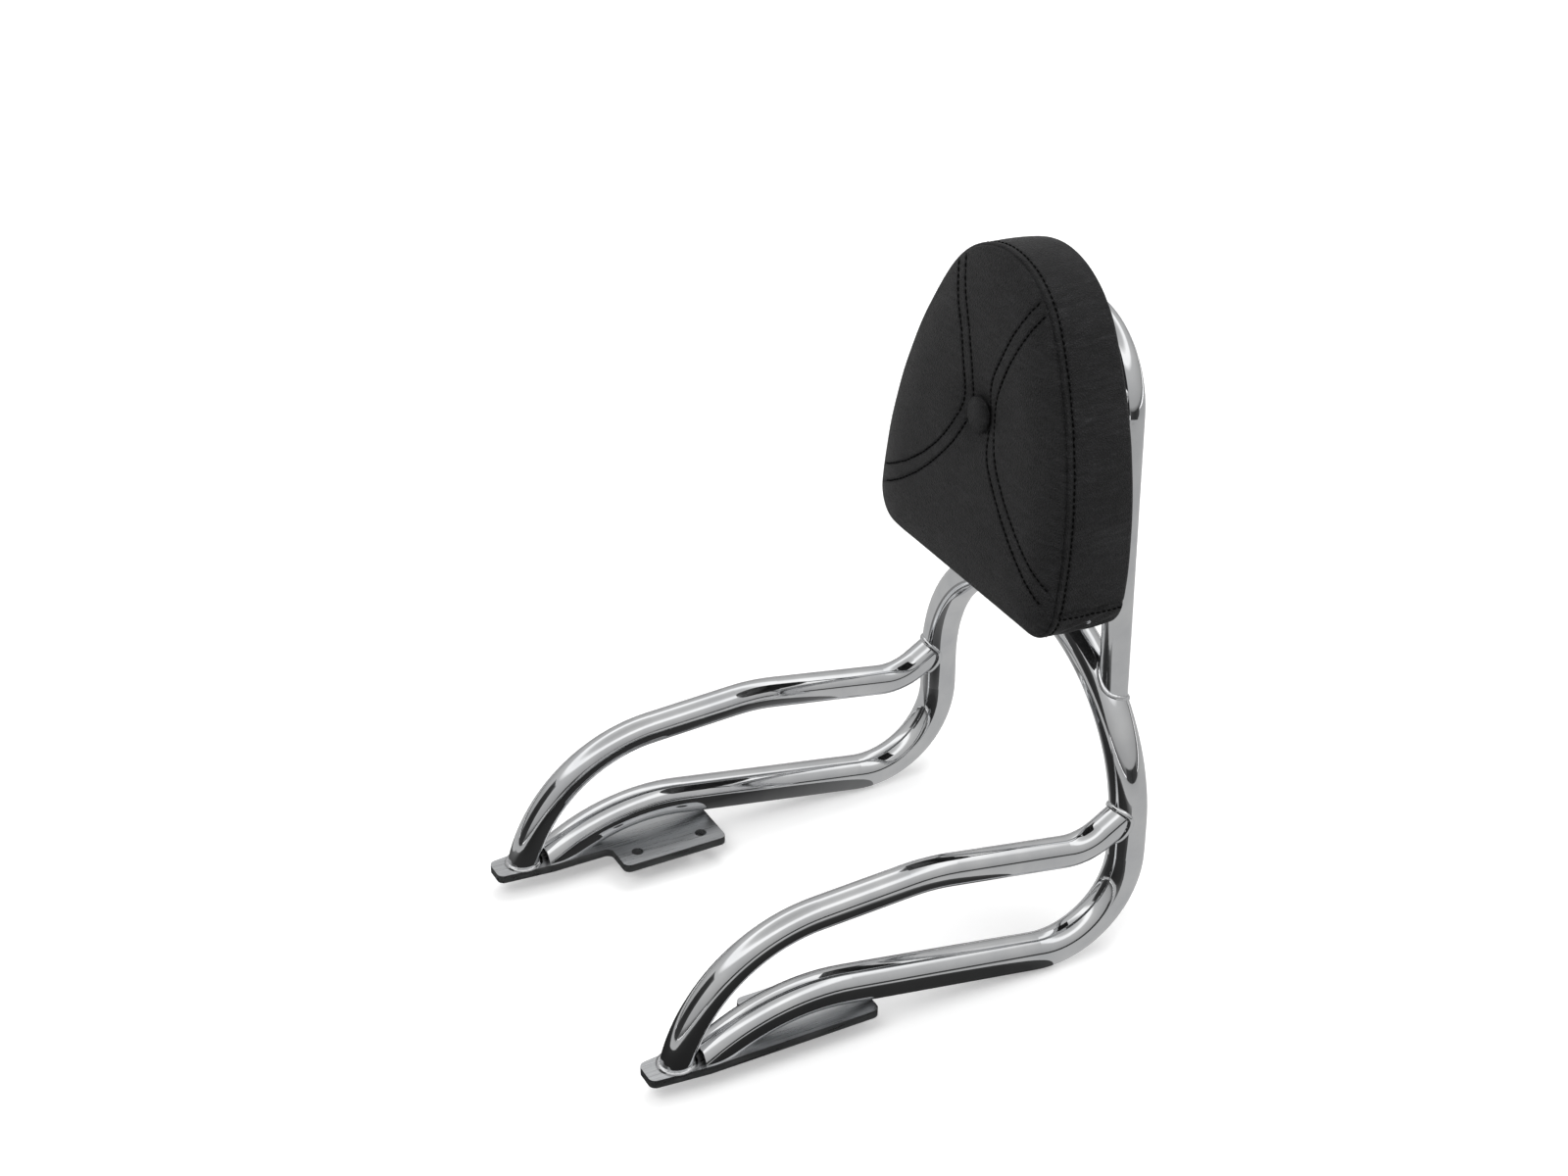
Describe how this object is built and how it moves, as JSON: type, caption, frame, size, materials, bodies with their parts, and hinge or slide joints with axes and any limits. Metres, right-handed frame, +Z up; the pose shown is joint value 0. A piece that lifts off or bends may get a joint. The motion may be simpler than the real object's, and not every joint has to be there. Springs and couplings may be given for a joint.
{
  "type": "sissy bar",
  "caption": "Chrome tube passenger backrest: bent frame with side grab tubes and arch, a hoop above it, and a buttoned black pad on the hoop.",
  "frame": {"origin": "middle of the four mounting holes, on the underside of the feet", "axes": "+X to the rear of the vehicle, +Y to its right side, +Z up; the part is mirrored about the XZ plane"},
  "size_m": [0.3917, 0.276, 0.4723],
  "materials": {
    "chrome": "bright chrome plate on steel",
    "foot_steel": "satin plated steel",
    "board": "stained plywood",
    "foam": "open-cell foam",
    "leatherette": "grained black leatherette, soft sheen",
    "cord": "waxed cord",
    "zinc": "bright zinc plate"
  },
  "bodies": {
    "root": {"main_frame_tube": "chrome", "left_grab_tube": "chrome", "right_grab_tube": "chrome", "backrest_hoop": "chrome", "upper_pad_strap": "chrome", "lower_pad_strap": "chrome", "left_foot_plate": "foot_steel", "right_foot_plate": "foot_steel", "pad_board": "board", "pad_foam": "foam", "pad_front_cover": "leatherette", "pad_gusset_cover": "leatherette", "pad_bottom_cover": "leatherette", "pad_button": "leatherette", "button_cord": "cord", "button_anchor": "zinc", "pad_screws": "zinc", "pad_washers": "zinc", "pad_tee_nuts": "zinc"}
  },
  "joints": []
}
